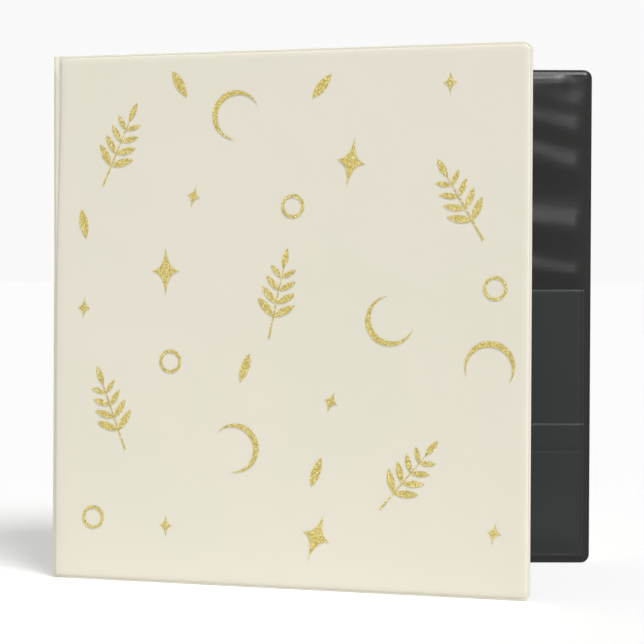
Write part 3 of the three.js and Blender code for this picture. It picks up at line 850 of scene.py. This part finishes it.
def ringHalf(node, kind, body, height):
    half = sweptWire(f"{node}_wire", ringSizes[kind], height)
    cutTip(half, kind, height)
    addSpigot(half, kind, height)
    half.data.name = half.name
    half.data.materials.clear()
    half.data.materials.append(nickel)
    half.data.shade_smooth()
    half.data.set_sharp_from_angle(angle=math.radians(ringSizes["sharpDegrees"]))
    ridePiece(half, body, "nickel_plate", node)


ringCount = sum(name.startswith("ring_post_") for name in frame["nodes"])
for number in range(1, ringCount + 1):
    for kind, body in (("post", "post_blade"), ("bow", "bow_blade")):
        node = f"ring_{kind}_{number}"
        low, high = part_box(node)
        ringHalf(node, kind, body, (low[2] + high[2]) / 2)

pressedSizes = {"sharpDegrees": 32.0, "mergeWithin": 1e-6}


# A pressed or turned piece keeps its solid's shape, with its round faces shaded smooth
def smoothCopy(node, body, material, slotName):
    solid = bpy.data.objects[node]
    bm = bmesh.new()
    bm.from_mesh(solid.data)
    bmesh.ops.transform(bm, matrix=solid.matrix_world, verts=bm.verts)
    bmesh.ops.remove_doubles(bm, verts=bm.verts, dist=pressedSizes["mergeWithin"])
    piece = meshObject(node + "_piece", bm, material)
    piece.data.set_sharp_from_angle(angle=math.radians(pressedSizes["sharpDegrees"]))
    ridePiece(piece, body, slotName, node)


smoothCopy("ring_housing", "back_cover", nickel, "nickel_plate")
for end in ("top", "bottom"):
    smoothCopy(f"{end}_lever", f"{end}_lever", nickel, "nickel_plate")
    smoothCopy(f"{end}_lever_pin", "back_cover", steel, "spring_steel")
    smoothCopy(f"{end}_rivet", "back_cover", nickel, "nickel_plate")
smoothCopy("post_side_blade", "post_blade", steel, "spring_steel")
smoothCopy("bow_side_blade", "bow_blade", steel, "spring_steel")

print("binder: printed foil")

# Sizes in millimetres, and parts of a sprig, a leaf or a star as shares of its length. Each motif has
# its kind, its place as shares of the cover's width and height, and its lean in degrees.
printSizes = {
    "level": 1.78,
    "thickness": 0.10,
    "sprig": 50.0,
    "crescent": 27.0,
    "star": 27.0,
    "smallStar": 13.0,
    "ring": 13.0,
    "leaf": 17.0,
    "sprigPairs": 4,
    "leafLean": 38.0,
    "lowestLeafShare": 0.27,
    "topLeafShare": 0.15,
    "lowestLeafHeight": -0.26,
    "stemTopHeight": 0.32,
    "topLeafStretch": 1.5,
    "stemWidth": 1.0,
    "stemTaper": 0.5,
    "stemSteps": 12,
    "leafFromStem": 0.3,
    "leafBelly": 0.3,
    "leafShoulder": 0.45,
    "starNarrowing": 0.62,
    "starWaist": 0.06,
    "crescentHorn": 56.0,
    "crescentBite": 0.92,
    "ringBand": 1.6,
    "rimSteps": 48,
    "smallRimSteps": 28,
    "fineRimSteps": 64,
    "motifs": [
        ("sprig", 0.15, 0.83, 24), ("sprig", 0.86, 0.72, -30), ("sprig", 0.49, 0.55, 12),
        ("sprig", 0.13, 0.33, -20), ("sprig", 0.76, 0.22, 40),
        ("crescent", 0.40, 0.88, 35), ("crescent", 0.72, 0.50, -40), ("crescent", 0.40, 0.26, 160),
        ("crescent", 0.92, 0.42, 100),
        ("star", 0.64, 0.79, 10), ("star", 0.25, 0.59, 0), ("star", 0.57, 0.10, 20),
        ("smallStar", 0.84, 0.93, 0), ("smallStar", 0.31, 0.73, 15), ("smallStar", 0.07, 0.52, 5),
        ("smallStar", 0.60, 0.35, 20), ("smallStar", 0.93, 0.12, 10), ("smallStar", 0.25, 0.11, 0),
        ("ring", 0.52, 0.71, 0), ("ring", 0.26, 0.42, 0), ("ring", 0.93, 0.56, 0), ("ring", 0.09, 0.12, 0),
        ("leaf", 0.28, 0.94, 60), ("leaf", 0.58, 0.93, -50), ("leaf", 0.07, 0.68, 80),
        ("leaf", 0.57, 0.22, -70), ("leaf", 0.42, 0.41, 110),
    ],
}


# A disc whose rim follows a formula of the angle round it
def formedDisc(bm, formula, place, segments):
    made = bmesh.ops.create_circle(bm, cap_ends=True, radius=1.0, segments=segments)
    for vert in made["verts"]:
        angle = math.atan2(vert.co.y, vert.co.x) % (2 * math.pi)
        vert.co = Vector((*formula(angle), 0.0))
    bmesh.ops.transform(bm, matrix=place, verts=made["verts"])


def leafFormula(length):
    def formula(angle):
        share = 1 - angle / math.pi if angle <= math.pi else angle / math.pi - 1
        swell = 2 * share * (1 - share)
        side = 1 if angle <= math.pi else -1
        x = length * (swell * printSizes["leafShoulder"] + share * share - 0.5)
        return x, side * swell * printSizes["leafBelly"] * length
    return formula


def starFormula(size):
    def formula(angle):
        share = (angle % (math.pi / 2)) / (math.pi / 2)
        quarter = int(angle // (math.pi / 2)) % 4
        if quarter % 2:
            share = 1 - share
        reach, waist = size / 2, size / 2 * printSizes["starWaist"]
        swell = 2 * share * (1 - share) * waist
        x = (1 - share) ** 2 * reach * printSizes["starNarrowing"] + swell
        y = share ** 2 * reach + swell
        return (x if quarter in (0, 3) else -x), (y if quarter < 2 else -y)
    return formula


def crescentFormula(size):
    radius = size / 2
    horn = math.radians(printSizes["crescentHorn"])
    bite = radius * printSizes["crescentBite"]
    biteAngle = math.asin(radius * math.sin(horn) / bite)
    centre = radius * math.cos(horn) - bite * math.cos(biteAngle)

    def formula(angle):
        share = angle / math.pi
        if share <= 1:
            turn = horn + share * (2 * math.pi - 2 * horn)
            return radius * math.cos(turn), radius * math.sin(turn)
        turn = -biteAngle - (share - 1) * (2 * math.pi - 2 * biteAngle)
        return centre + bite * math.cos(turn), bite * math.sin(turn)
    return formula


def addRing(bm, size, place):
    p = printSizes
    outer = bmesh.ops.create_circle(bm, radius=size / 2, segments=p["rimSteps"])["verts"]
    inner = bmesh.ops.create_circle(bm, radius=size / 2 - p["ringBand"], segments=p["rimSteps"])["verts"]
    edges = list({edge for vert in outer + inner for edge in vert.link_edges})
    bmesh.ops.bridge_loops(bm, edges=edges)
    bmesh.ops.transform(bm, matrix=place, verts=outer + inner)


def addStem(bm, length, place):
    p = printSizes
    stem = bmesh.ops.create_grid(bm, x_segments=1, y_segments=p["stemSteps"], size=0.5)["verts"]
    for vert in stem:
        share = vert.co.y + 0.5
        width = p["stemWidth"] * (1 - p["stemTaper"] * share)
        vert.co = Vector((vert.co.x * width, length * (share * (p["stemTopHeight"] + 0.5) - 0.5), 0.0))
    bmesh.ops.transform(bm, matrix=place, verts=stem)


# A leaf that grows from the point (x, y) of its sprig
def addLeaf(bm, place, x, y, size, degrees):
    turn = Matrix.Translation((x, y, 0.0)) @ Matrix.Rotation(math.radians(degrees), 4, "Z")
    turn = turn @ Matrix.Translation((size / 2, 0.0, 0.0))
    formedDisc(bm, leafFormula(size), place @ turn, printSizes["smallRimSteps"])


def addSprig(bm, length, place):
    p = printSizes
    foot, top = p["lowestLeafHeight"], p["stemTopHeight"]
    addStem(bm, length, place)
    topFoot = 0.5 - p["topLeafStretch"] * p["topLeafShare"]
    addLeaf(bm, place, 0.0, length * topFoot, length * (0.5 - topFoot), 90)
    for i in range(p["sprigPairs"]):
        step = i / p["sprigPairs"]
        height = length * (foot + (top - foot) * step)
        size = length * (p["lowestLeafShare"] + (p["topLeafShare"] - p["lowestLeafShare"]) * step)
        addLeaf(bm, place, p["leafFromStem"], height, size, p["leafLean"])
        addLeaf(bm, place, -p["leafFromStem"], height, size, 180 - p["leafLean"])


def addPrint(sizes):
    bm = bmesh.new()
    upright = Matrix.Rotation(math.radians(90), 4, "X")
    for kind, shareX, shareZ, degrees in sizes["motifs"]:
        centre = Vector((shareX * coverWidth, -sizes["level"], shareZ * caseHeight))
        place = Matrix.Translation(centre) @ upright @ Matrix.Rotation(math.radians(-degrees), 4, "Z")
        size = sizes[kind]
        if kind == "sprig":
            addSprig(bm, size, place)
        elif kind == "ring":
            addRing(bm, size, place)
        elif kind == "leaf":
            formedDisc(bm, leafFormula(size), place, sizes["rimSteps"])
        elif kind == "crescent":
            formedDisc(bm, crescentFormula(size), place, sizes["fineRimSteps"])
        else:
            formedDisc(bm, starFormula(size), place, sizes["fineRimSteps"])
    bmesh.ops.transform(bm, matrix=frontFrame, verts=bm.verts)
    for face in bm.faces:
        face.normal_update()
        if face.normal.dot(frontOut) < 0:
            face.normal_flip()
    foil = meshObject("foil_print", bm, glitter, smooth=False)
    giveThickness(foil, sizes["thickness"], 1.0)
    printNodes = [name for name in frame["nodes"] if name.startswith("print_")]
    ridePiece(foil, "front_cover", "gold_foil", *printNodes)


frontOut = (frontFrame.to_3x3() @ Vector((0, -1, 0))).normalized()
addPrint(printSizes)

print("binder: inner boards")


# The boards keep their solids' shape
def coverBoard(node):
    board = bpy.data.objects[node]
    board.data.materials.clear()
    board.data.materials.append(pulp)


for node in ("back_board", "spine_board", "front_board"):
    coverBoard(node)

print("binder: floor and light")

stageLook = {
    "backdrop": (0.950, 0.950, 0.948),
    "floorColor": (0.820, 0.820, 0.818),
    "floorGlow": 0.20,
    "glowStrength": 1.61,
    "floorSize": 60.0,
    "worldStrength": 0.14,
}


# What the camera, gloss and glass see of the backdrop: one for those rays and nothing for the rest
def seenRays(tree):
    path = tree.nodes.new("ShaderNodeLightPath")
    last = path.outputs["Is Camera Ray"]
    for name in ("Is Glossy Ray", "Is Transmission Ray"):
        either = tree.nodes.new("ShaderNodeMath")
        either.operation = "MAXIMUM"
        tree.links.new(last, either.inputs[0])
        tree.links.new(path.outputs[name], either.inputs[1])
        last = either.outputs[0]
    return last


def makeFloor(look):
    graph = Graph("studio_floor")
    graph.finish(Base_Color=look["floorColor"], Roughness=1.0, Specular_IOR_Level=0.0)
    glow = graph.make("ShaderNodeEmission", {}, {
        "Color": look["backdrop"], "Strength": look["glowStrength"]})
    factor = Number(graph, seenRays(graph.tree)) * look["floorGlow"]
    mixed = graph.make("ShaderNodeMixShader", {}, {
        0: factor, 1: Number(graph, graph.surface.outputs[0]), 2: glow})
    graph.tree.links.new(mixed.socket, graph.tree.nodes["Material Output"].inputs["Surface"])
    bm = bmesh.new()
    bmesh.ops.create_grid(bm, x_segments=1, y_segments=1, size=look["floorSize"])
    floor = meshObject("studio_floor", bm, graph.material)


def makeWorld(look):
    world = bpy.data.worlds.new("studio")
    bpy.context.scene.world = world
    world.use_nodes = True
    nodes = world.node_tree.nodes
    links = world.node_tree.links
    nodes.clear()
    seen = nodes.new("ShaderNodeBackground")
    seen.inputs["Color"].default_value = (*look["backdrop"], 1.0)
    lit = nodes.new("ShaderNodeBackground")
    lit.inputs["Color"].default_value = (1.0, 1.0, 1.0, 1.0)
    lit.inputs["Strength"].default_value = look["worldStrength"]
    mix = nodes.new("ShaderNodeMixShader")
    links.new(seenRays(world.node_tree), mix.inputs[0])
    links.new(lit.outputs[0], mix.inputs[1])
    links.new(seen.outputs[0], mix.inputs[2])
    links.new(mix.outputs[0], nodes.new("ShaderNodeOutputWorld").inputs["Surface"])


# A broad soft light high at the front, on the right
keyLight = {"from": (0.33, -0.52, 0.79), "strength": 2.50, "width": 24.0, "shadow": True}

# A low soft light from the front that brings out the gloss of the vinyl
frontLight = {"from": (0.25, -0.88, 0.395), "strength": 0.44, "width": 20.0, "shadow": False}

# A weak overhead light without shadows, as from a large ceiling panel
skyLight = {"from": (0.0, -0.35, 0.94), "strength": 0.42, "width": 40.0, "shadow": False}

# A weak light without shadows, for the side that the key doesn't reach
fillLight = {"from": (-0.35, 0.85, 0.16), "strength": 1.05, "width": 40.0, "shadow": False}


def makeSun(name, look):
    data = bpy.data.lights.new(name, "SUN")
    data.use_shadow = look["shadow"]
    data.energy = look["strength"]
    data.angle = math.radians(look["width"])
    lamp = bpy.data.objects.new(name, data)
    lamp.rotation_euler = (-Vector(look["from"])).to_track_quat("-Z", "Y").to_euler()
    bpy.context.scene.collection.objects.link(lamp)


makeFloor(stageLook)
makeWorld(stageLook)
makeSun("key", keyLight)
makeSun("front", frontLight)
makeSun("sky", skyLight)
makeSun("fill", fillLight)

bpy.context.scene.view_settings.view_transform = "Standard"

print("binder: finish")
